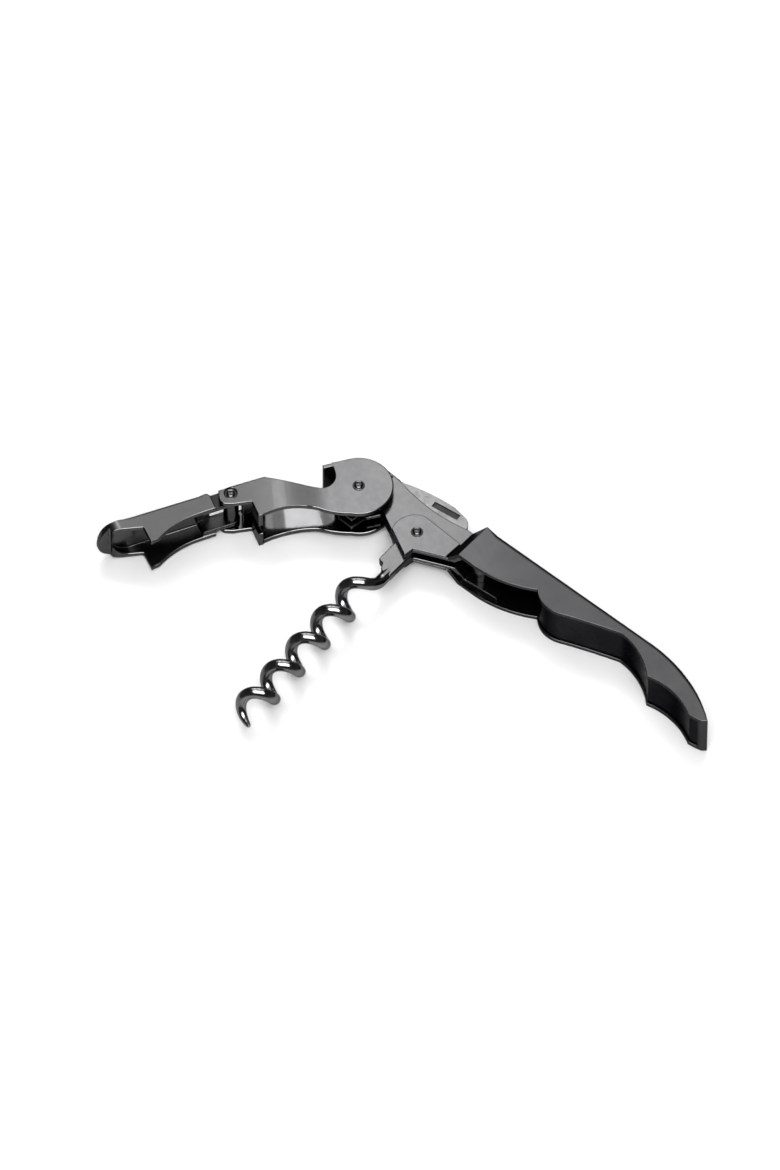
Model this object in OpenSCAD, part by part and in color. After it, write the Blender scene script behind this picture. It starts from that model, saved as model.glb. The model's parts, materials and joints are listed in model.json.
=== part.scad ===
// Lever corkscrew with a two-stage hinged lever, lying on its side with the
// lever and the worm folded out.
// +X runs along the handle towards its tail, +Y towards the handle's back,
// and every rivet stands along Z. z = 0 is the surface the corkscrew lies on.

/* [Overall] */
// Thickness across the handle sleeve and the widest part of the lever
thick = 12.5; // [12.2:0.1:13]

/* [Handle] */
// Distance from the worm rivet to the tail of the sleeve
tail_x = 90; // [88:0.5:93]
// Distance from the worm rivet to the front edge of the sleeve
sleeve_front = 13.4; // [13.2:0.1:13.6]
// Height of the sleeve's straight back above the worm rivet
back_y = 10.4; // [10.2:0.1:10.6]
// Sheet thickness of the sleeve
sleeve_wall = 1.1; // [1:0.05:1.2]

/* [Neck] */
// Clear gap between the two neck plates
neck_gap = 2.3; // [2.3:0.05:2.4]
// Sheet thickness of the neck plates
neck_wall = 1; // [0.9:0.05:1]
// Thickness of the cheek plates round the worm rivet
cheek_wall = 0.65; // [0.6:0.05:0.65]

/* [Lever] */
// Distance between the lever rivet and the hinge rivet
stage_one = 30.9; // [30.5:0.1:31.5]
// Direction of the first stage, degrees from +X
stage_one_angle = -133.1; // [-134:0.1:-132]
// Radius of the lever's round head
head_r = 8.4; // [8.3:0.05:8.6]
// Sheet thickness of the lever
lever_wall = 1.35; // [1.3:0.05:1.35]
// Length of the second stage beyond the hinge rivet
stage_two = 33.8; // [33.5:0.1:34.5]
// Direction of the second stage, degrees from +X
stage_two_angle = -117.5; // [-119:0.1:-116]

/* [Worm] */
// Direction of the worm's axis, degrees from +X
worm_angle = -85.8; // [-87:0.1:-85]
// Distance between the worm's turns
pitch = 10; // [9.8:0.05:10.2]
// Radius of the wire's centre line about the worm's axis
coil_r = 2.87; // [2.8:0.01:2.9]
// Diameter of the wire
wire_d = 3; // [2.8:0.05:3]
// Distance from the worm rivet to the point
worm_len = 67; // [65:0.5:68]

/* [Foil blade] */
// Thickness of the blade
blade_t = 1.2; // [1:0.1:1.3]

/* [Rivets] */
// Radius of the lever and worm rivets' shanks
rivet_r = 1.1; // [1:0.05:1.15]
// Radius of the hinge rivet's shank
hinge_r = 0.9; // [0.85:0.05:0.95]
// Radius of the domed heads
dome_r = 1.5; // [1.4:0.05:1.5]

/* [Hidden] */

half = thick / 2;
slip = 0.05;            // radial clearance of a part that turns on a rivet
eps = 0.01;             // overlap that joins two solids of one piece
centre_x = 16.370;       // middle of the whole corkscrew, from the worm rivet
centre_y = -27.194;

neck_out = neck_gap / 2 + neck_wall;
cheek_out = neck_out + cheek_wall;
lever_in = 3.4;         // inside of the lever's head, from the middle plane
lever_out = lever_in + lever_wall;
stage_in = half - lever_wall;      // inside of the first stage at its foot
second_out = half - 0.35;          // outside of the second stage
second_wall = 1.25;
second_in = second_out - second_wall;
sleeve_in = half - sleeve_wall;

tail_wall = 2.2;        // length of the closed tail
grip_inset = 0.5;       // how far the grip strip sits inside the sleeve's edge
grip_sheet = 1.1;       // thickness of the grip strip
frame_end = 24;         // inner end of the neck plates, inside the sleeve
tongue_r = 6.2;         // round of the neck's tongue, inside the lever's hook
stop_hole = [-15.6, 8.6];       // pinhole beside the lever's head
spring_pin = [17, 4];
spring_pin_r = 1;
spring_tip = -12.2;
leaf_half = 1.05;       // half width of the back spring
tang_half = neck_gap / 2 - slip;
tang_r = 2.6;
axis_shift = -2.42;     // the worm's axis lies beside the line through its rivet
wire_start = 11.2;      // where the wire grows out of the tang
first_turn = 18;
ease = 7;
point_len = 4.5;
wire_sides = 12;
rings_per_turn = 20;
web_wall = 1.1;
web_inset = 0.04;
foot_low = 1.6;         // gap of the foot's turned-in tabs, from the middle plane
sink = 0.5;             // depth of the hinge rivet's seat
ear_in = second_in - 1.15;

lever_pin = [-18.65, 0.2];
hinge_pin = lever_pin + stage_one * [cos(stage_one_angle), sin(stage_one_angle)];

$fn = 96;

// ---------- geometry helpers ----------

// The centre of the circle through three points
function centre3(a, b, c) =
    let (d = 2 * (a[0] * (b[1] - c[1]) + b[0] * (c[1] - a[1]) + c[0] * (a[1] - b[1])),
         a2 = a * a, b2 = b * b, c2 = c * c)
    [(a2 * (b[1] - c[1]) + b2 * (c[1] - a[1]) + c2 * (a[1] - b[1])) / d,
     (a2 * (c[0] - b[0]) + b2 * (a[0] - c[0]) + c2 * (b[0] - a[0])) / d];
function turn(v) = atan2(v[1], v[0]);
// Degrees from angle p to angle q, the short way round
function span(p, q) = let (d = q - p) d > 180 ? d - 360 : d < -180 ? d + 360 : d;
// Points on the arc that starts at a, passes through b and ends at c
function arc3(a, b, c, n = 12) =
    let (m = centre3(a, b, c), r = norm(a - m), t = turn(a - m),
         s = span(t, turn(b - m)) + span(turn(b - m), turn(c - m)))
    [for (i = [0 : n]) m + r * [cos(t + s * i / n), sin(t + s * i / n)]];
// Points on an arc about m with radius r, from angle a to angle b
function arc(m, r, a, b, n = 16) =
    [for (i = [0 : n]) m + r * [cos(a + (b - a) * i / n), sin(a + (b - a) * i / n)]];

module slab(points, low, high) {
    translate([0, 0, low]) linear_extrude(high - low) polygon(points);
}

// Keeps what lies above the middle plane and adds its mirror image below
module both_sides() {
    children();
    mirror([0, 0, 1]) children();
}

module at_lever() {
    translate([lever_pin[0], lever_pin[1], 0]) rotate(stage_one_angle) children();
}

module at_hinge() {
    translate([hinge_pin[0], hinge_pin[1], 0]) rotate(stage_two_angle) children();
}

// A solid whose section in the X-Z plane is drawn by points, wide enough in Y to cover any plate
module bend_profile(points) {
    rotate([90, 0, 0]) linear_extrude(80, center = true) polygon(points);
}

// A rivet along Z with a domed head at each end
module rivet(shank, grip, head, rise) {
    dome = (head * head + rise * rise) / (2 * rise);
    union() {
        cylinder(r = shank, h = 2 * grip + 2 * eps, center = true);
        both_sides() translate([0, 0, grip]) intersection() {
            cylinder(r = head, h = rise);
            translate([0, 0, rise - dome]) sphere(r = dome);
        }
    }
}

// The point a share u of the way from a to b
function along(a, b, u) = a + u * (b - a);

// Puts the pieces in the part's own frame
module placed() {
    translate([-centre_x, -centre_y, half]) children();
}

// ---------- handle ----------

tail_low = [tail_x - 1.2, 0.45];
tail_back_y = 1.45;     // where the arched back meets the end of the tail
wave_end = [85.3, -0.15];
ridge = [70.5, 2];
hollow_top = [57.6, 7.45];
heel_low = [43.1, 2.3];
heel = [34.4, 4.1];
mouth_end = [18, -0.55];
bend_start = 65;        // where the straight back turns down to the tail

// The wavy grip edge, from the tail to the heel of the finger rest
function grip_edge() = concat(
    [tail_low], arc3(wave_end, [78, 2.45], ridge, 14),
    arc3(ridge, [65.5, 5.5], hollow_top, 12),
    arc3(hollow_top, [50.5, 5.1], heel_low, 10),
    arc3(heel_low, [39.6, 1.65], heel, 10));

// The sleeve's side, with the straight back arching down to the tail
function sleeve_side() =
    let (drop = back_y - tail_back_y, run = tail_x - bend_start, r = (run * run + drop * drop) / (2 * drop))
    concat(
        [[sleeve_front, back_y]],
        arc([bend_start, back_y - r], r, 90, 90 - asin(run / r), 24),
        grip_edge(), arc3(heel, [27, 0.8], mouth_end, 10), [[sleeve_front, -0.5]]);

// Everything between the sleeve's sides: open along the grip, closed at the back and the tail
function sleeve_hollow() =
    let (drop = back_y - tail_back_y, run = tail_x - bend_start, r = (run * run + drop * drop) / (2 * drop))
    concat(
        [[sleeve_front - 5, back_y - sleeve_wall]],
        arc([bend_start, back_y - r], r - sleeve_wall, 90,
            90 - asin((run - tail_wall) / (r - sleeve_wall)), 24),
        [[tail_x - tail_wall, -9], [sleeve_front - 5, -9]]);

// Sloping front of the sleeve, which grips the neck. It runs into the sides just below their faces.
module sleeve_shoulder() {
    lead = sleeve_front - 3;
    both_sides() intersection() {
        slab([[lead, -1], [sleeve_front, eps - 0.5], [sleeve_front + 0.6, -0.4],
            [sleeve_front + 0.6, back_y - eps], [sleeve_front, back_y - eps], [lead, 8.1]], 0, half);
        bend_profile([[lead, neck_out + 0.02], [lead + 0.8, neck_out + 0.02],
            [sleeve_front + 0.45, sleeve_in + eps], [sleeve_front + 0.6, sleeve_in + eps],
            [sleeve_front + 0.6, half - eps], [sleeve_front, half - eps], [lead, cheek_out + 0.05]]);
    }
}

// Sides and back in one folded sheet
module handle_sleeve() placed() color([0.30, 0.30, 0.31]) union() {
    difference() {
        translate([0, 0, -half]) linear_extrude(thick) polygon(sleeve_side());
        translate([0, 0, -sleeve_in]) linear_extrude(2 * sleeve_in) polygon(sleeve_hollow());
    }
    sleeve_shoulder();
}

// Wavy strip between the sleeve's sides, which the fingers press against
module grip_wall() placed() color([0.22, 0.22, 0.23])
    translate([0, 0, -sleeve_in]) linear_extrude(2 * sleeve_in) intersection() {
        polygon(concat([for (p = grip_edge()) p + [0, grip_inset]],
            [for (i = [len(grip_edge()) - 1 : -1 : 0]) grip_edge()[i] + [0, grip_inset + grip_sheet]]));
        translate([heel[0] + 0.2, -5]) square([tail_x - tail_wall - heel[0] - 0.4, 20]);
    }

// ---------- neck ----------

neck_front = [2.2, -7.1];
neck_foot = [2.6, -4.3];
neck_low = [10, -1];

// Side view of a neck plate, with the square tongue round the lever rivet
function neck_side() = concat(
    [[lever_pin[0] - 0.2, -7], [-14.6, -7.1], [-13.7, -2.7], [-11.7, 0.2]],
    [neck_front, neck_foot, neck_low,
        [sleeve_front, 0.4], [frame_end, 1.3], [frame_end, back_y - sleeve_wall],
        [sleeve_front + 1, back_y - sleeve_wall], [sleeve_front - 1.6, 8.95]],
    arc3([8.4, 8.9], [-3, 7.8], [-13.4, 9.4], 14),
    arc3([-18.4, 9.7], [-20, 9.2], [-20.9, 7.6], 5),
    arc(lever_pin, tongue_r, 118, 258, 20));

// Section of a neck plate: flat between the lever's sides, spread to fill the sleeve
module neck_section() {
    spread = sleeve_front + 0.6;
    bend_profile([[-40, neck_gap / 2], [sleeve_front - 1.3, neck_gap / 2],
        [spread + 0.6, sleeve_in - neck_wall], [40, sleeve_in - neck_wall],
        [40, sleeve_in], [spread, sleeve_in], [sleeve_front - 2.05, neck_out], [-40, neck_out]]);
}

module neck_plate() difference() {
    intersection() {
        slab(neck_side(), 0, half);
        neck_section();
    }
    translate([lever_pin[0], lever_pin[1], 0]) cylinder(r = rivet_r, h = half);
    cylinder(r = rivet_r, h = half);
    translate([spring_pin[0], spring_pin[1], 0]) cylinder(r = spring_pin_r, h = half);
    translate([stop_hole[0], stop_hole[1], 0]) cylinder(r = 0.45, h = half);
}

// Both neck plates, folded from one sheet whose back lies inside the sleeve
module neck_frame() placed() color([0.52, 0.52, 0.53]) union() {
    both_sides() neck_plate();
    back = back_y - sleeve_wall;
    slab([[sleeve_front + 1.4, back - neck_wall], [frame_end, back - neck_wall], [frame_end, back],
        [sleeve_front + 1.4, back]], 0.5 - sleeve_in, sleeve_in - 0.5);
}

// Stiffening plate on the outside of the neck, round the worm rivet
module cheek_plate() difference() {
    slab(concat([neck_front, neck_foot, neck_low, [neck_low[0] + 0.2, 4.2]],
        arc3([-1.5, 4.9], [-5, 2.2], [-5.2, -3.2], 14)), neck_out, cheek_out);
    cylinder(r = rivet_r, h = half);
}

module cheek_plate_upper() placed() color([0.56, 0.56, 0.57]) cheek_plate();
module cheek_plate_lower() placed() color([0.56, 0.56, 0.57]) mirror([0, 0, 1]) cheek_plate();

// Leaf between the neck plates that presses on the blade's root
module back_spring() placed() color([0.35, 0.35, 0.36]) difference() {
    union() {
        slab([[spring_tip, 3.7], [spring_tip + 1.5, 3.4], [spring_pin[0], 3.2],
            [spring_pin[0], 4.6], [spring_tip, 4.6]], -leaf_half, leaf_half);
        translate([spring_pin[0], spring_pin[1], 0]) cylinder(r = 2, h = 2 * leaf_half, center = true);
    }
    translate([spring_pin[0], spring_pin[1], 0]) cylinder(r = spring_pin_r, h = thick, center = true);
}

// Shank that holds the spring between the spread ends of the neck plates, flush inside the sleeve
module spring_rivet() placed() color([0.35, 0.35, 0.36])
    translate([spring_pin[0], spring_pin[1], 0])
        cylinder(r = spring_pin_r, h = 2 * sleeve_in, center = true);

// A ring round one of the rivets, between heights low and high
module ring(inner, outer, low, high) difference() {
    translate([0, 0, low]) cylinder(r = outer, h = high - low);
    translate([0, 0, low - 1]) cylinder(r = inner, h = high - low + 2);
}

// Collars that keep the spring in the middle of its rivet
module spring_collar() color([0.30, 0.30, 0.31]) translate([spring_pin[0], spring_pin[1], 0])
    ring(spring_pin_r, 1.9, leaf_half, sleeve_in - neck_wall);
module spring_collar_upper() placed() spring_collar();
module spring_collar_lower() placed() mirror([0, 0, 1]) spring_collar();

// ---------- worm ----------

module worm_rivet() placed() color([0.25, 0.25, 0.26]) rivet(rivet_r, cheek_out, dome_r, 0.5);

axis_dir = [cos(worm_angle), sin(worm_angle), 0];
side_dir = [-sin(worm_angle), cos(worm_angle), 0];
up_dir = [0, 0, 1];

// Turn of the wire about the worm's axis, in degrees, at distance d from the worm rivet.
// It grows smoothly from nothing where the wire leaves the tang.
function coil_turn(d) =
    let (start = first_turn - ease / 2)
    360 / pitch * (d < start ? 0 : d < start + ease ? pow(d - start, 2) / (2 * ease) : d - first_turn);
function coil_rate(d) =
    let (start = first_turn - ease / 2)
    360 / pitch * (d < start ? 0 : d < start + ease ? (d - start) / ease : 1);
// Radius of the wire, drawn down to the point
function wire_r(d) = wire_d / 2 *
    (d < worm_len - point_len ? 1 : 0.12 + 0.88 * sqrt((worm_len - d) / point_len));
// Half thickness of the wire across the tang's plane, flattened where it joins the tang
function wire_flat(d) = min(1, (tang_half - 0.05 + (d - wire_start) * 0.15) / (wire_d / 2));

function wire_ring(d) =
    let (a = coil_turn(d),
         radial = cos(a) * side_dir + sin(a) * up_dir,
         around = cos(a) * up_dir - sin(a) * side_dir,
         along = axis_dir + coil_r * coil_rate(d) * PI / 180 * around,
         third = cross(along / norm(along), radial),
         middle = axis_shift * side_dir + d * axis_dir + coil_r * radial)
    [for (i = [0 : wire_sides - 1])
        let (b = 360 * i / wire_sides)
        middle + wire_r(d) * (cos(b) * radial + wire_flat(d) * sin(b) * third)];

module wire() {
    n = ceil((worm_len - wire_start) * rings_per_turn / pitch);
    rings = [for (i = [0 : n]) wire_ring(wire_start + (worm_len - wire_start) * i / n)];
    points = [for (ring = rings) for (p = ring) p];
    sides = [for (i = [0 : n - 1]) for (j = [0 : wire_sides - 1])
        let (k = (j + 1) % wire_sides, a = i * wire_sides, b = a + wire_sides)
        each [[a + j, b + j, b + k], [a + j, b + k, a + k]]];
    start_cap = [for (j = [0 : wire_sides - 1]) j];
    end_cap = [for (j = [wire_sides - 1 : -1 : 0]) n * wire_sides + j];
    polyhedron(points, concat(sides, [start_cap, end_cap]), convexity = 10);
}

// Flat end of the worm, which turns on its rivet
module tang() difference() {
    slab(concat(arc([0, 0], tang_r, 0, 180, 20),
        [[-2.85, -4.6], [-2.7, -10.6]], arc3([-2.2, -11.2], [-1.3, -11.2], [-0.9, -11.9], 4),
        [[0, -13.2], [2.75, -13.2], [tang_r, 0]]), -tang_half, tang_half);
    cylinder(r = rivet_r + slip, h = thick, center = true);
}

module worm() placed() color([0.16, 0.16, 0.17]) union() {
    tang();
    wire();
}

// ---------- lever rivet, washers and blade ----------

module lever_rivet() placed() color([0.25, 0.25, 0.26])
    translate([lever_pin[0], lever_pin[1], 0]) rivet(rivet_r, lever_out + 0.03, dome_r, 0.5);

// Spacers between the neck and the lever's sides
module lever_washer() color([0.45, 0.45, 0.46]) translate([lever_pin[0], lever_pin[1], 0])
    ring(rivet_r, 3.4, neck_out, lever_in - 0.03);
module lever_washer_upper() placed() lever_washer();
module lever_washer_lower() placed() mirror([0, 0, 1]) lever_washer();

// Thin spacers that centre the blade between the neck plates
module blade_washer() color([0.45, 0.45, 0.46]) translate([lever_pin[0], lever_pin[1], 0])
    ring(rivet_r, 2.8, blade_t / 2 + 0.03, neck_gap / 2);
module blade_washer_upper() placed() blade_washer();
module blade_washer_lower() placed() mirror([0, 0, 1]) blade_washer();

// Foil cutter, folded into the back of the neck
module foil_blade() placed() color([0.78, 0.78, 0.80]) difference() {
    slab(concat(arc(lever_pin, 3.9, 60, 330, 20),
        [[-13.4, 1.6], [-12.4, 5.2]], [[6.6, 6.6]],
        arc3([7.6, 8.4], [7.3, 10.2], [4.4, 12.1], 8),
        arc3([1.4, 12.6], [-7, 11.7], [-13.4, 10], 8),
        [[-15.4, 8.6], [-16.6, 5.6]]), -blade_t / 2, blade_t / 2);
    translate([lever_pin[0], lever_pin[1], 0]) cylinder(r = rivet_r + slip, h = thick, center = true);
    // nail nick
    translate([0.2, 10.5, blade_t / 2 - 0.35]) rotate(7) translate([-3.6, -0.75, 0]) cube([7.2, 1.5, 1]);
}

// ---------- lever ----------

notch = [8.7, -3.7];            // middle of the cap lifter's notch
notch_r = 3.55;
hook_tip = [8.1, -7.1];

head_foot = head_r * [cos(-80), sin(-80)];      // where the head's round runs out into the hook
apex = [22.3, -4];              // highest point of the back edge
lug_back = [33.8, -1.1];

function stage_one_side() = concat(
    arc([0, 0], head_r, -80, -288, 40),
    arc3([2.6, 8], [6.5, 7.25], [10, 5.9], 8),
    arc3([10.4, 5.75], [16, 5.1], [24.9, 7.5], 14),
    [[26.1, 3], [30.8, 3.3]], arc3([32.6, 3], [33.6, 2.2], [33.9, 1], 6),
    [lug_back, apex],
    arc(notch, notch_r, 70, 190, 16), [[5.5, -6.4], along(head_foot, hook_tip, 0.62)]);

// Spread of the first stage's sides at distance s from the lever rivet, from 0 to 1
function spread_at(s) = let (u = min(1, max(0, (s - 6) / 15))) u * u * (3 - 2 * u);
function side_line(near, far, steps) = [for (s = steps) [s, near + (far - near) * spread_at(s)]];
spread_steps = [-12, each [for (i = [0 : 10]) 6 + 1.5 * i], 40];
spread_back = [40, each [for (i = [10 : -1 : 0]) 6 + 1.5 * i], -12];

module stage_one_plate() difference() {
    union() {
        intersection() {
            slab(stage_one_side(), 0, half);
            bend_profile(concat(side_line(lever_in, stage_in, spread_steps),
                side_line(lever_out, half, spread_back)));
        }
        // turned-in foot that stands on the bottle's rim
        slab([[24.9, 7.5], [26.1, 3], [24.9, 2.75], [23.7, 7.1]], foot_low, half);
    }
    cylinder(r = rivet_r + slip, h = half);
    translate([stage_one, 0, 0]) cylinder(r = hinge_r, h = half);
    translate([stage_one, 0, half - sink]) cylinder(r = dome_r + 0.05, h = sink + eps);
}

// First stage: two sides joined by the hook of the cap lifter and by a web at the hinge.
// Both webs stand a hair inside the sides' edges.
module first_lever() placed() color([0.50, 0.50, 0.51]) at_lever() union() {
    both_sides() stage_one_plate();
    outer = head_r - web_inset;
    inner = outer - web_wall;
    tip = hook_tip + [0, web_inset];
    slab(concat(arc([0, 0], outer, -102, -80, 6), [tip, tip + [-0.15, web_wall]],
        arc([0, 0], inner, -80, -102, 6)), web_inset - lever_out, lever_out - web_inset);
    near = apex + [0.1, web_inset];
    far = along(apex, lug_back, 0.52) + [0, web_inset];
    slab([near, far, far + [-0.25, web_wall], near + [-0.25, web_wall]], -stage_in - 0.5, stage_in + 0.5);
}

module hinge_rivet() placed() color([0.25, 0.25, 0.26])
    translate([hinge_pin[0], hinge_pin[1], 0]) rivet(hinge_r, half - sink, dome_r, sink - 0.05);

// Tube on the hinge rivet that keeps the second stage's ears apart
module hinge_spacer() placed() color([0.32, 0.32, 0.33])
    translate([hinge_pin[0], hinge_pin[1], 0]) difference() {
        cylinder(r = 1.9, h = 2 * (ear_in - 0.04), center = true);
        cylinder(r = hinge_r, h = thick, center = true);
    }

plate_end = 30.2;       // where the second stage's sides end and its back runs on as a round tongue
tongue_seat = 30.3;     // end of the hollow inside the tongue

function stage_two_side() = concat(
    [[4.75, 2.6], [4.75, -1.3]], arc([5.9, -1.3], 1.15, 180, 268, 6),
    arc3([plate_end, -2.9], [stage_two - 1.4, -2.75], [stage_two, -2.1], 8),
    [[stage_two - 0.3, -1.2], [plate_end + 0.3, -1.5], [plate_end, -0.45], [23.1, 1.45], [22.9, 6.3]],
    arc3([20.6, 5.95], [15.8, 3.75], [8.5, 2.65], 10));

// Rounded outline of the tongue seen across its width, with half height h and its end at s
function tongue_profile(h, s) = concat([[-2, -h]], arc([s - h, 0], h, -90, 90, 24), [[-2, h]]);

// Second stage: a pressed channel whose back ends in a round tongue, and two ears on the hinge rivet
module second_lever() placed() color([0.40, 0.40, 0.41]) at_hinge() difference() {
    union() {
        difference() {
            intersection() {
                slab(stage_two_side(), -half, half);
                bend_profile(tongue_profile(second_out, stage_two));
            }
            intersection() {
                translate([-2, -1.65, -half]) cube([50, 20, thick]);
                bend_profile(tongue_profile(second_in, tongue_seat));
            }
        }
        both_sides()
            slab(concat(arc([0, 0], 2.2, 90, 270, 14), [[8, -2.2], [8, 2.2]]), ear_in, second_in + 0.1);
    }
    cylinder(r = hinge_r + slip, h = thick, center = true);
}

handle_sleeve();
grip_wall();
neck_frame();
cheek_plate_upper();
cheek_plate_lower();
back_spring();
spring_rivet();
spring_collar_upper();
spring_collar_lower();
worm_rivet();
worm();
lever_rivet();
lever_washer_upper();
lever_washer_lower();
blade_washer_upper();
blade_washer_lower();
foil_blade();
first_lever();
hinge_rivet();
hinge_spacer();
second_lever();
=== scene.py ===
"""Lever corkscrew of polished black nickel, lying on its side on a pale glossy table.

The shapes come from the CAD frame. This script rounds the edges of the sheet metal, winds a
smooth worm, turns detailed rivet heads, and gives every piece its finish.
"""
import json
import math

import bmesh
import bpy
from mathutils import Matrix, Vector


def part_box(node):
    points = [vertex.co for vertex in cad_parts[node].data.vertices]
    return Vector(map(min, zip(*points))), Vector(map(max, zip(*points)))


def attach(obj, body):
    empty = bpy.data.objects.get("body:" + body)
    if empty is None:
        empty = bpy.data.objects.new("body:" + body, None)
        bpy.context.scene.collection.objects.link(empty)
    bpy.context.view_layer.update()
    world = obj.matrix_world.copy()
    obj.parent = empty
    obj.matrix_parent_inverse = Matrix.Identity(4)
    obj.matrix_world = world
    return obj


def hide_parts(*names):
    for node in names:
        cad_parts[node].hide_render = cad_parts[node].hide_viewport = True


MM = 0.001

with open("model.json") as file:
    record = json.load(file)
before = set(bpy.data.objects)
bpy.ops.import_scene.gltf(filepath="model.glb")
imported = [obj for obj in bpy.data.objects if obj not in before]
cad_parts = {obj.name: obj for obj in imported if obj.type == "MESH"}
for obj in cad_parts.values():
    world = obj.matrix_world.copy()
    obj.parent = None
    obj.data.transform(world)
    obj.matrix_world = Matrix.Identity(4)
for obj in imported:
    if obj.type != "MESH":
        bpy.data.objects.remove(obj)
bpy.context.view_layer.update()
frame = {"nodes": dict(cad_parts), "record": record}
behaviour = frame["record"]["behaviour"]
BODY_OF = {node: body for body, nodes in behaviour["bodies"].items() for node in nodes}
SLOT_OF = {part["node"]: part["material_slot"] for part in frame["record"]["subparts"]}
PIVOT = {joint["name"]: Vector(joint["pos_m"]) for joint in behaviour["joints"]}
MIDDLE = PIVOT["worm_hinge"].z          # height of the plane halfway through the thickness
UP = Vector((0, 0, 1))


# ---------- materials ----------

def new_material(name):
    material = bpy.data.materials.new(name)
    material.use_nodes = True
    nodes = material.node_tree.nodes
    return material, nodes, material.node_tree.links, nodes["Principled BSDF"]


def noise(nodes, links, scale, detail, stretch=(1, 1, 1)):
    """Noise in the piece's own coordinates, in features of about 1 / scale metres."""
    place = nodes.new("ShaderNodeTexCoord")
    mapping = nodes.new("ShaderNodeMapping")
    mapping.inputs["Scale"].default_value = stretch
    texture = nodes.new("ShaderNodeTexNoise")
    texture.inputs["Scale"].default_value = scale
    texture.inputs["Detail"].default_value = detail
    links.new(place.outputs["Object"], mapping.inputs["Vector"])
    links.new(mapping.outputs["Vector"], texture.inputs["Vector"])
    return texture.outputs["Fac"]


NOISE_LOW, NOISE_HIGH = 0.35, 0.65      # most of a noise's values lie between these


def ramp(nodes, links, source, low, high):
    """A noise spread over low to high. Numbers give a number, colours a colour."""
    spread = nodes.new("ShaderNodeMapRange")
    spread.inputs["From Min"].default_value = NOISE_LOW
    spread.inputs["From Max"].default_value = NOISE_HIGH
    links.new(source, spread.inputs["Value"])
    if not isinstance(low, tuple):
        spread.inputs["To Min"].default_value = low
        spread.inputs["To Max"].default_value = high
        return spread.outputs["Result"]
    mix = nodes.new("ShaderNodeMix")
    mix.data_type = "RGBA"
    links.new(spread.outputs["Result"], mix.inputs["Factor"])
    mix.inputs["A"].default_value = (*low, 1)
    mix.inputs["B"].default_value = (*high, 1)
    return mix.outputs["Result"]


EDGE_TINT = (0.42, 0.42, 0.42)          # dark plating stays dark where it is seen edge on
CLOUD_SCALE, HAZE_SCALE, GRAIN_SCALE, RIPPLE_SCALE = 160, 700, 9000, 260    # noise, per metre
HAIRLINE = (0.04, 1, 1)                 # stretches the grain along the handle


def plated_metal(name, dark, light, rough, grain=0.0, ripple=0.0):
    """Polished plate: a slow change of tone, cloudy roughness, hairlines and a faint ripple.

    dark and light are the two ends of its colour, and rough those of its roughness. grain and
    ripple are depths in metres.
    """
    material, nodes, links, shader = new_material(name)
    shader.inputs["Metallic"].default_value = 1.0
    shader.inputs["Specular Tint"].default_value = (*EDGE_TINT, 1)
    cloud = noise(nodes, links, CLOUD_SCALE, 3)
    links.new(ramp(nodes, links, cloud, dark, light), shader.inputs["Base Color"])
    haze = noise(nodes, links, HAZE_SCALE, 5)
    links.new(ramp(nodes, links, haze, *rough), shader.inputs["Roughness"])
    bump = None
    for depth, scale, stretch in ((grain, GRAIN_SCALE, HAIRLINE),
                                  (ripple, RIPPLE_SCALE, (1, 1, 1))):
        if depth:
            layer = nodes.new("ShaderNodeBump")
            layer.inputs["Strength"].default_value = 1.0
            layer.inputs["Distance"].default_value = depth
            links.new(noise(nodes, links, scale, 2, stretch), layer.inputs["Height"])
            if bump:
                links.new(bump.outputs["Normal"], layer.inputs["Normal"])
            bump = layer
    if bump:
        links.new(bump.outputs["Normal"], shader.inputs["Normal"])
    return material


def make_materials():
    """Every finish by its name: the record's material slots, a darker sleeve, and copies of the
    plating: darker ones as painted shade, a lighter and glossier one as partly painted reflection.
    """
    return {
        "black_nickel": plated_metal("black_nickel", (0.060, 0.060, 0.061), (0.064, 0.064, 0.065),
                                     (0.20, 0.23), grain=0.25e-6, ripple=0.4e-6),
        "sleeve": plated_metal("sleeve_nickel", (0.036, 0.036, 0.037), (0.040, 0.040, 0.041),
                               (0.20, 0.24), grain=0.25e-6, ripple=0.4e-6),
        # painted shade: the grip's wave wall is the same black nickel, painted much darker to
        # stand in for the shade it lies in
        "grip": plated_metal("grip_painted_shade_nickel", (0.014, 0.014, 0.015), (0.018, 0.018, 0.019),
                             (0.20, 0.28), grain=0.25e-6, ripple=0.4e-6),
        # glossier polish on the inner faces, and partly painted reflection: a lighter colour than
        # the plating, which brightens what they mirror
        "inside": plated_metal("inside_polish_painted_sheen_nickel", (0.070, 0.070, 0.071), (0.080, 0.080, 0.081),
                               (0.08, 0.11), ripple=0.4e-6),
        # painted shade: a near-black copy of the plating for the hinge ears and the blade's nail
        # nick, where shade falls
        "shadow": plated_metal("shadow_nickel", (0.016, 0.016, 0.016), (0.022, 0.022, 0.022),
                               (0.24, 0.32)),
        "worm_steel": plated_metal("worm_steel", (0.13, 0.13, 0.132), (0.17, 0.17, 0.172),
                                   (0.10, 0.15), ripple=1e-6),
        "blade_steel": plated_metal("blade_steel", (0.080, 0.080, 0.081), (0.105, 0.105, 0.106),
                                    (0.20, 0.28), grain=0.5e-6),
        "spring_steel": plated_metal("spring_steel", (0.05, 0.05, 0.052), (0.08, 0.08, 0.082),
                                     (0.28, 0.40), grain=0.4e-6),
        "dark_steel": plated_metal("dark_steel", (0.04, 0.04, 0.041), (0.055, 0.055, 0.056),
                                   (0.12, 0.20), ripple=2e-6),
    }


MATERIALS = make_materials()
FINISH_OF = {"handle_sleeve": "sleeve", "grip_wall": "grip"}       # the sleeve in a darker finish than its slot's, and the grip wall in a copy painted far darker, as painted shade


# ---------- pieces ----------

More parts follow.
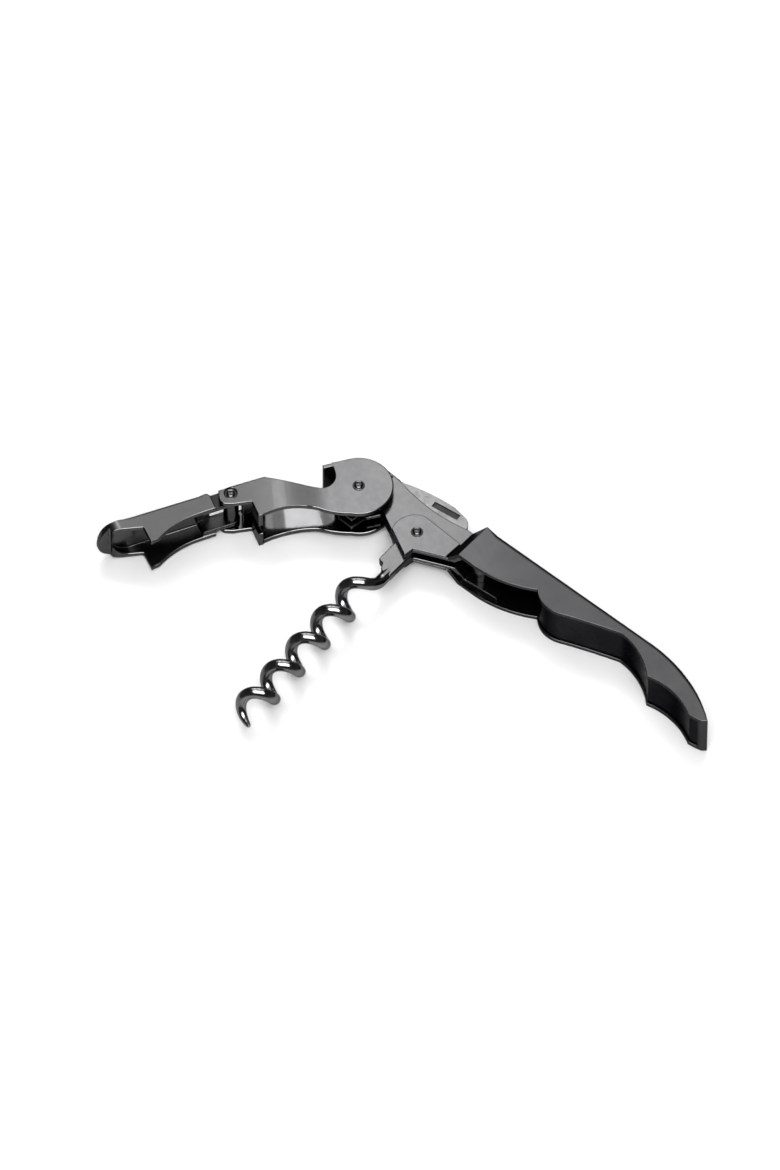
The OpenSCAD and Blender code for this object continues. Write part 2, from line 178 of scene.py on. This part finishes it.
def add_piece(name, mesh, node, second_finish=None):
    """Puts a mesh in the scene in place of a CAD node, on its body and in its finish."""
    piece = bpy.data.objects.new(name, mesh)
    bpy.context.scene.collection.objects.link(piece)
    slot = SLOT_OF[node]
    mesh.materials.append(MATERIALS[FINISH_OF.get(node, slot)])
    if second_finish:
        mesh.materials.append(MATERIALS[second_finish])
    mesh.shade_smooth()
    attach(piece, BODY_OF[node])
    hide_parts(node)
    return piece


def round_edges(piece, width, segments):
    """Rounds over a piece's edges, by each edge's bevel weight times width."""
    bevel = piece.modifiers.new("Bevel", "BEVEL")
    bevel.limit_method = "WEIGHT"
    bevel.width = width
    bevel.segments = segments
    bevel.harden_normals = True
    bevel.use_clamp_overlap = False
    normals = piece.modifiers.new("Weighted_Normal", "WEIGHTED_NORMAL")
    normals.keep_sharp = True
    normals.weight = 60


# How wide the edges of a rounded copy can be rounded over
CREASE = 24                 # degrees between two faces that make an edge sharp
FLAT = 0.5                  # degrees between two faces that still make one flat face
JOINED = 0.016 * MM         # points closer than this are joined
FINEST = 0.004 * MM         # roundings narrower than this are left out
ONE_LINE = 40               # two edges that turn by less than this, in degrees, are one line
CORNER_ROOM = 0.45          # share of an edge that a rounding across its end may take up
SLIDE = 0.4                 # share of the shorter edge within which two offset lines cross
SHALLOW = 0.034             # sine of the turn below which a line counts as straight
STRAIGHT_SLOPE = 0.08       # what a rounding may widen by on a straight line, per length
END_CUTS = (0.5 * MM, 1.5 * MM, 3.5 * MM, 7 * MM)       # where edges are cut, from either end
END_ROOM = 0.4              # share of an edge, from either end, in which it may be cut
LONG_EDGE = 20 * MM         # shorter edges get only the first of the cuts
END_SLOPE = 0.35            # what a rounding may widen by at such a cut, per length
SLACK = 1e-9


def slide(edge, other, vertex):
    """The most that the roundings of two edges may differ where they meet at a shallow angle.

    Their offset lines cross far from the vertex if they differ by more. None at a true corner.
    """
    along = edge.other_vert(vertex).co - vertex.co
    away = other.other_vert(vertex).co - vertex.co
    turn = along.angle(away, 0.0)
    if abs(math.cos(turn)) < math.cos(math.radians(ONE_LINE)):
        return None
    slope = math.sin(turn) * SLIDE if math.sin(turn) > SHALLOW else STRAIGHT_SLOPE
    return slope * min(along.length, away.length)


def fitted_widths(sharp, wanted):
    """How wide each sharp edge can be rounded over: as wanted, where its neighbours leave room."""
    width = dict(wanted)
    ties = []
    for edge in sharp:
        for vertex in edge.verts:
            for other in vertex.link_edges:
                if other is edge:
                    continue
                limit = slide(edge, other, vertex)
                if limit is None:
                    width[edge] = min(width[edge], CORNER_ROOM * other.calc_length())
                elif other not in wanted:
                    width[edge] = min(width[edge], limit)
                elif len(vertex.link_edges) > 2:
                    ties.append((edge, other, limit))
                else:
                    shorter = min(edge.calc_length(), other.calc_length())
                    ties.append((edge, other, END_SLOPE * shorter))
    changed = True
    while changed:
        changed = False
        for edge, other, limit in ties:
            if width[edge] > width[other] + limit + SLACK:
                width[edge] = width[other] + limit
                changed = True
    return width


def is_sharp(edge, crease=CREASE):
    """Whether an edge's two faces turn by more than crease, in degrees."""
    return len(edge.link_faces) == 2 and edge.calc_face_angle(0.0) > math.radians(crease)


def split_ends(bm):
    """Cuts sharp edges near both ends, so that a rounding can narrow towards a tight corner."""
    for edge in [e for e in bm.edges if is_sharp(e)]:
        first, second = edge.verts
        length = edge.calc_length()
        places = END_CUTS if length > LONG_EDGE else END_CUTS[:1]
        cuts = [place for place in places if place < END_ROOM * length]
        done = 0.0
        for place in cuts + [length - place for place in reversed(cuts)]:
            _, cut = bmesh.utils.edge_split(edge, first, (place - done) / (length - done))
            edge = next(e for e in cut.link_edges if second in e.verts)
            first, done = cut, place


def whole_width(a, b):
    """The share of every edge of a piece that is rounded over evenly."""
    return 1.0


def rounded_copy(node, width, weight=whole_width, segments=3, second_finish=None, where=None):
    """A copy of a CAD node whose flat faces are whole and whose edges are rounded over.

    weight(a, b) gives the share of width that the edge between points a and b gets. The faces
    for which where(centre, normal) holds take the second finish.
    """
    mesh = frame["nodes"][node].data.copy()
    mesh.name = node + "_metal"
    mesh.materials.clear()
    bm = bmesh.new()
    bm.from_mesh(mesh)
    bmesh.ops.remove_doubles(bm, verts=bm.verts, dist=JOINED)
    bmesh.ops.dissolve_degenerate(bm, edges=bm.edges, dist=JOINED)
    bmesh.ops.dissolve_limit(bm, angle_limit=math.radians(FLAT), verts=bm.verts,
                             edges=bm.edges, use_dissolve_boundaries=False)
    split_ends(bm)
    if where:
        for face in bm.faces:
            face.material_index = int(where(face.calc_center_median(), face.normal))
    share = bm.edges.layers.float.new("bevel_weight_edge")
    sharp = [edge for edge in bm.edges if is_sharp(edge)]
    wanted = {edge: width * weight(*(v.co for v in edge.verts)) for edge in sharp}
    for edge, fitted in fitted_widths(sharp, wanted).items():
        edge[share] = fitted / width if fitted > FINEST else 0.0
    for layer in list(bm.loops.layers.float_vector):
        bm.loops.layers.float_vector.remove(layer)
    bm.to_mesh(mesh)
    bm.free()
    round_edges(add_piece(node + "_metal", mesh, node, second_finish), width, segments)


LATHE_STEPS = 64


def lathe(profile, centre):
    """A mesh turned about a Z axis at centre; profile is (radius, height) pairs."""
    bm = bmesh.new()
    rings = []
    for radius, height in profile:
        if radius == 0:
            rings.append([bm.verts.new(centre + Vector((0, 0, height)))])
            continue
        rings.append([bm.verts.new(centre + Vector((
            radius * math.cos(2 * math.pi * k / LATHE_STEPS),
            radius * math.sin(2 * math.pi * k / LATHE_STEPS), height)))
            for k in range(LATHE_STEPS)])
    for low, high in zip(rings, rings[1:]):
        for k in range(LATHE_STEPS):
            quad = [low[k % len(low)], low[(k + 1) % len(low)],
                    high[(k + 1) % len(high)], high[k % len(high)]]
            quad = list(dict.fromkeys(quad))
            if len(quad) > 2:
                bm.faces.new(quad)
    bmesh.ops.recalc_face_normals(bm, faces=bm.faces)
    return bm


HEAD_RISE = 0.5 * MM        # of a rivet's dome above its seat


def rivet(node, joint, shank):
    """A riveted pin whose domed ends sit in a rolled collar with a fine groove between.

    shank is the radius of the pin between its heads.
    """
    low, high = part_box(node)
    centre = PIVOT[joint]
    top = high.z - centre.z
    head = (high.x - low.x) / 2
    seat = top - HEAD_RISE
    profile = [(0, top), (0.22 * head, top - 0.02 * MM), (0.42 * head, top - 0.08 * MM),
               (0.58 * head, top - 0.18 * MM), (0.66 * head, top - 0.30 * MM),
               (0.70 * head, seat + 0.04 * MM), (0.75 * head, seat + 0.02 * MM),
               (0.79 * head, seat + 0.16 * MM), (0.87 * head, seat + 0.22 * MM),
               (0.95 * head, seat + 0.15 * MM), (head, seat), (shank, seat - 0.02 * MM)]
    bm = lathe(profile + [(r, -h) for r, h in reversed(profile)], centre)
    mesh = bpy.data.meshes.new(node + "_turned")
    bm.to_mesh(mesh)
    bm.free()
    add_piece(node + "_turned", mesh, node)


# The worm's own sizes, as the CAD model has them, unless a comment says otherwise
WORM_ANGLE = math.radians(-85.8)        # direction of its axis, from +X
AXIS_SHIFT = -2.42 * MM                 # of the axis, beside the line through the rivet
PITCH = 10 * MM
COIL_R = 2.87 * MM
WIRE_R = 1.5 * MM
WORM_LENGTH = 66.99 * MM                # a hair short, so that the tip stays in the CAD's box
WIRE_START = 11.2 * MM                  # where the wire grows out of the tang
FIRST_TURN = 18 * MM                    # where the even turns are counted from
EASE = 7 * MM                           # length over which the turning begins
POINT_LENGTH = 4.5 * MM
POINT_SHARE = 0.08                      # of the wire's radius left at the tip, finer than in CAD
TANG_HALF = 1.1 * MM                    # half thickness of the tang
WIRE_START_HALF = TANG_HALF - 0.05 * MM # half thickness of the wire, flattened at its start
WIRE_SLOPE = 0.15                       # how fast the wire grows round from there
WIRE_SIDES = 24
RINGS_PER_TURN = 36


def helix_worm():
    """The worm as one smooth forged wire that grows out of its flat tang."""
    pivot = PIVOT["worm_hinge"]
    along = Vector((math.cos(WORM_ANGLE), math.sin(WORM_ANGLE), 0))
    beside = Vector((-along.y, along.x, 0))
    step = 1e-5

    def turn(d):
        start = FIRST_TURN - EASE / 2
        if d < start:
            return 0.0
        if d < start + EASE:
            return 2 * math.pi / PITCH * (d - start) ** 2 / (2 * EASE)
        return 2 * math.pi / PITCH * (d - FIRST_TURN)

    def outwards(d):
        return math.cos(turn(d)) * beside + math.sin(turn(d)) * UP

    def middle(d):
        return pivot + AXIS_SHIFT * beside + d * along + COIL_R * outwards(d)

    def radius(d):
        left = max(0.0, (WORM_LENGTH - d) / POINT_LENGTH)
        return WIRE_R * (1.0 if left >= 1 else POINT_SHARE + (1 - POINT_SHARE) * math.sqrt(left))

    bm = bmesh.new()
    rings = []
    angles = [2 * math.pi * k / WIRE_SIDES for k in range(WIRE_SIDES)]
    count = int((WORM_LENGTH - WIRE_START) / PITCH * RINGS_PER_TURN)
    for i in range(count + 1):
        d = WIRE_START + (WORM_LENGTH - WIRE_START) * i / count
        tangent = (middle(d + step) - middle(d - step)).normalized()
        third = tangent.cross(outwards(d))
        flat = min(1.0, (WIRE_START_HALF + (d - WIRE_START) * WIRE_SLOPE) / WIRE_R)
        rings.append([bm.verts.new(middle(d) + radius(d) * (
            math.cos(a) * outwards(d) + flat * math.sin(a) * third)) for a in angles])
    tip = bm.verts.new(middle(WORM_LENGTH))
    for k in range(WIRE_SIDES):
        j = (k + 1) % WIRE_SIDES
        for a, b in zip(rings, rings[1:]):
            bm.faces.new((a[k], a[j], b[j], b[k]))
        bm.faces.new((rings[-1][k], rings[-1][j], tip))
    bm.faces.new(reversed(rings[0]))
    bmesh.ops.recalc_face_normals(bm, faces=bm.faces)
    return bm


def tang_outline():
    """The tang's outline round the worm rivet, in millimetres from the rivet."""
    steps = 24
    end_r = 2.6
    round_end = [(end_r * math.cos(math.pi * i / steps), end_r * math.sin(math.pi * i / steps))
                 for i in range(steps + 1)]
    return round_end + [(-2.85, -4.6), (-2.7, -10.6), (-2.45, -11.05), (-1.9, -11.3),
                        (-1.3, -11.35), (-1.0, -11.6), (-0.85, -12.1), (0, -13.2), (2.75, -13.2)]


def make_worm():
    """The worm in one piece: the wire in its own steel and the tang in the darker plating."""
    bm = helix_worm()
    pivot = PIVOT["worm_hinge"]
    outline = tang_outline()
    caps = []
    for z in (-TANG_HALF, TANG_HALF):
        caps.append([bm.verts.new(pivot + Vector((x * MM, y * MM, z))) for x, y in outline])
    lower, upper = caps
    tang = [bm.faces.new(reversed(lower)), bm.faces.new(upper)]
    for k in range(len(outline)):
        j = (k + 1) % len(outline)
        tang.append(bm.faces.new((lower[k], lower[j], upper[j], upper[k])))
    for face in tang:
        face.material_index = 1
    bm.normal_update()
    share = bm.edges.layers.float.new("bevel_weight_edge")
    rim = set(upper) | set(lower)
    for edge in bm.edges:
        if edge.verts[0] in rim and is_sharp(edge, crease=50):
            edge[share] = 1.0
    mesh = bpy.data.meshes.new("worm_wire")
    bm.to_mesh(mesh)
    bm.free()
    round_edges(add_piece("worm_wire", mesh, "worm", "black_nickel"), 0.3 * MM, 3)


# The sleeve's outline, as the CAD model has it
SLEEVE_LOW, SLEEVE_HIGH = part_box("handle_sleeve")
FRONT_X = SLEEVE_LOW.x + 3.05 * MM      # where its sloping front ends
ARCH_RUN = 25 * MM                      # the back's arch down to the tail, along the handle
ARCH_DROP = 8.95 * MM                   # and across it
NEAR = 0.05 * MM                        # points this close to a line are on it
FRONT_SHARE = 0.09                      # shares of the sleeve's rounding, at its front
CUT_SHARE = 0.14                        # and at its cut edges

STAGE_TWO_ANGLE = math.radians(-117.5)  # direction of the second stage, from +X
STAGE_TWO_BACK = -2.3 * MM              # its folded back lies beyond this, across the stage
STAGE_TWO_CUT_SHARE = 0.4               # share of its rounding at the cut edges
EAR_REACH = 4.6 * MM                    # from the hinge rivet's axis
EAR_TOP = 4.8 * MM                      # from the middle plane
NICK_DEPTH = 0.1 * MM                   # its floor lies further down than this


def on_back(point):
    """Whether a point lies on the sleeve's outer back line, straight and then arched."""
    radius = (ARCH_RUN * ARCH_RUN + ARCH_DROP * ARCH_DROP) / (2 * ARCH_DROP)
    bend_x = SLEEVE_HIGH.x - ARCH_RUN
    below = point.y - SLEEVE_HIGH.y
    if point.x < bend_x:
        return abs(below) < NEAR
    return abs(math.hypot(point.x - bend_x, below + radius) - radius) < NEAR


def sleeve_edges(a, b):
    """The sleeve's folded back edge is rounder than its cut edges, and its front is crisp."""
    if max(a.x, b.x) < FRONT_X:
        return FRONT_SHARE
    outer = min(abs(a.z - MIDDLE), abs(b.z - MIDDLE)) > MIDDLE - 0.2 * MM
    return 1.0 if outer and on_back(a) and on_back(b) else CUT_SHARE


def second_lever_edges(a, b):
    """The second stage is rounder along its folded back and round tongue."""
    across = Vector((-math.sin(STAGE_TWO_ANGLE), math.cos(STAGE_TWO_ANGLE), 0))
    side = max((point - PIVOT["stage_hinge"]).dot(across) for point in (a, b))
    return 1.0 if side < STAGE_TWO_BACK else STAGE_TWO_CUT_SHARE


def faces_inwards(centre, normal):
    """Whether a face of a folded sheet looks, at least roughly, at the middle plane."""
    return normal.z * (centre.z - MIDDLE) < -0.3 * abs(centre.z - MIDDLE)


# The ears deep in the hinge take the painted shade.
def on_ear(centre, normal):
    """Whether a face belongs to the second stage's ears, deep in the hinge."""
    away = centre - PIVOT["stage_hinge"]
    return math.hypot(away.x, away.y) < EAR_REACH and abs(away.z) < EAR_TOP


# The nick's floor takes painted shade.
def in_nick(centre, normal):
    """Whether a face is the floor of the blade's nail nick."""
    return normal.z > 0.9 and centre.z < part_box("foil_blade")[1].z - NICK_DEPTH


def make_pieces():
    """Every piece of the corkscrew, each in place of its CAD node, with its rounding."""
    rounded_copy("handle_sleeve", 1.4 * MM, sleeve_edges, segments=5)
    rounded_copy("grip_wall", 0.2 * MM)
    rounded_copy("neck_frame", 0.3 * MM)
    for side in ("upper", "lower"):
        rounded_copy("cheek_plate_" + side, 0.25 * MM)
        rounded_copy("lever_washer_" + side, 0.12 * MM)
        rounded_copy("blade_washer_" + side, 0.06 * MM, segments=2)
        rounded_copy("spring_collar_" + side, 0.12 * MM)
    rounded_copy("back_spring", 0.12 * MM)
    rounded_copy("spring_rivet", 0.12 * MM)
    rounded_copy("foil_blade", 0.12 * MM, second_finish="shadow", where=in_nick)
    # The inner faces take the glossier finish with its painted reflection.
    rounded_copy("first_lever", 0.36 * MM, segments=4, second_finish="inside", where=faces_inwards)
    rounded_copy("second_lever", 0.90 * MM, second_lever_edges, segments=4,
                 second_finish="shadow", where=on_ear)
    rounded_copy("hinge_spacer", 0.15 * MM)
    rivet("worm_rivet", "worm_hinge", 1.1 * MM)
    rivet("lever_rivet", "lever_hinge", 1.1 * MM)
    rivet("hinge_rivet", "stage_hinge", 0.9 * MM)
    make_worm()


make_pieces()


# ---------- stage, light and camera ----------

VIEW_RIGHT = math.radians(40.8)         # direction of the camera's right hand, from +X
VIEW_RISE = 54.6                        # of the camera above the table, in degrees
FRAME_HEIGHT = 280.6 * MM               # what the picture spans at the corkscrew's distance
LENS = 500.0                            # millimetres, as the sensor's height is
SENSOR = 36.0
AIM_RIGHT, AIM_DOWN = -6.47 * MM, 13.19 * MM    # from the worm rivet's top to the aim
WORLD_LOW, WORLD_HIGH = 0.12, 0.06      # strength of the surroundings near the table and above

right = Vector((math.cos(VIEW_RIGHT), math.sin(VIEW_RIGHT), 0))
ahead = Vector((-right.y, right.x, 0))
tilt = math.radians(VIEW_RISE)
view = (ahead * math.cos(tilt) - UP * math.sin(tilt)).normalized()
above = right.cross(view)


def make_floor():
    """A pale, softly glossy table that fades into the background."""
    bpy.ops.mesh.primitive_plane_add(size=8)
    floor = bpy.context.object
    floor.name = "table"
    material, nodes, links, shader = new_material("table")
    shader.inputs["Base Color"].default_value = (0.86, 0.86, 0.86, 1)
    shader.inputs["Specular IOR Level"].default_value = 0.25
    links.new(ramp(nodes, links, noise(nodes, links, 30, 3), 0.14, 0.17),
              shader.inputs["Roughness"])
    floor.data.materials.append(material)


def softbox(name, direction, distance, size, power, aim=Vector((0, 0, 0.006)), floods=True):
    """A rectangular soft light, seen from the corkscrew in the given direction.

    One that doesn't flood the table is a card, which only shows as a reflection in the metal.
    """
    light = bpy.data.lights.new(name, "AREA")
    light.shape = "RECTANGLE"
    light.size, light.size_y = size
    light.energy = power
    lamp = bpy.data.objects.new(name, light)
    lamp.location = aim + direction.normalized() * distance
    lamp.rotation_euler = (aim - lamp.location).to_track_quat("-Z", "Y").to_euler()
    lamp.visible_camera = False
    lamp.visible_diffuse = floods
    bpy.context.scene.collection.objects.link(lamp)


def heading(turn, rise):
    """A direction from its turn to the right of straight ahead and its rise, in degrees."""
    turn, rise = math.radians(turn), math.radians(rise)
    level = ahead * math.cos(turn) + right * math.sin(turn)
    return level * math.cos(rise) + UP * math.sin(rise)


def make_lights():
    """Soft lights round the table, with distances and sizes in metres and powers in watts.

    A level face shows the camera what stands straight ahead at the camera's own rise.
    """
    neck = PIVOT["worm_hinge"] - right * 9 * MM
    softbox("back_card", heading(0, VIEW_RISE), 0.30, (0.052, 0.07), 0.062, neck)
    softbox("left_back_card", heading(-26, 50), 0.50, (0.09, 0.09), 0.17)
    softbox("right_back_card", heading(0, VIEW_RISE), 0.50, (0.10, 0.10), 0.06, SLEEVE_HIGH)
    softbox("back_wall", heading(0, 50), 1.3, (1.3, 0.9), 7.2)
    softbox("overhead", heading(180, 84), 1.6, (1.6, 1.6), 12)
    softbox("front_card", heading(180, 56), 1.1, (0.9, 0.55), 10)
    softbox("rim_card", heading(180, 72), 1.0, (1.0, 0.6), 26, floods=False)


def make_world():
    """Dim white surroundings that fade from the table upwards."""
    world = bpy.data.worlds.new("studio")
    bpy.context.scene.world = world
    world.use_nodes = True
    nodes, links = world.node_tree.nodes, world.node_tree.links
    place = nodes.new("ShaderNodeTexCoord")
    parts = nodes.new("ShaderNodeSeparateXYZ")
    links.new(place.outputs["Generated"], parts.inputs["Vector"])
    fade = nodes.new("ShaderNodeMapRange")
    fade.interpolation_type = "SMOOTHSTEP"
    fade.inputs["From Min"].default_value = 0.05
    fade.inputs["From Max"].default_value = 0.62
    fade.inputs["To Min"].default_value = WORLD_LOW
    fade.inputs["To Max"].default_value = WORLD_HIGH
    links.new(parts.outputs["Z"], fade.inputs["Value"])
    background = nodes["Background"]
    links.new(fade.outputs["Result"], background.inputs["Strength"])
    background.inputs["Color"].default_value = (1, 1, 1, 1)


def make_camera():
    """A long lens that keeps the corkscrew in the middle of the frame."""
    camera = bpy.data.cameras.new("camera")
    camera.lens = LENS
    camera.sensor_fit = "VERTICAL"
    camera.sensor_height = SENSOR
    camera.clip_start, camera.clip_end = 0.05, 20
    eye = bpy.data.objects.new("camera", camera)
    rivet_top = PIVOT["worm_hinge"] + UP * 3.6 * MM
    aim = rivet_top + right * AIM_RIGHT - above * AIM_DOWN
    eye.location = aim - view * FRAME_HEIGHT * LENS / SENSOR
    eye.rotation_euler = Matrix((right, above, -view)).transposed().to_euler()
    bpy.context.scene.collection.objects.link(eye)
    bpy.context.scene.camera = eye


make_floor()
make_lights()
make_world()
make_camera()
bpy.context.scene.view_settings.view_transform = "Standard"
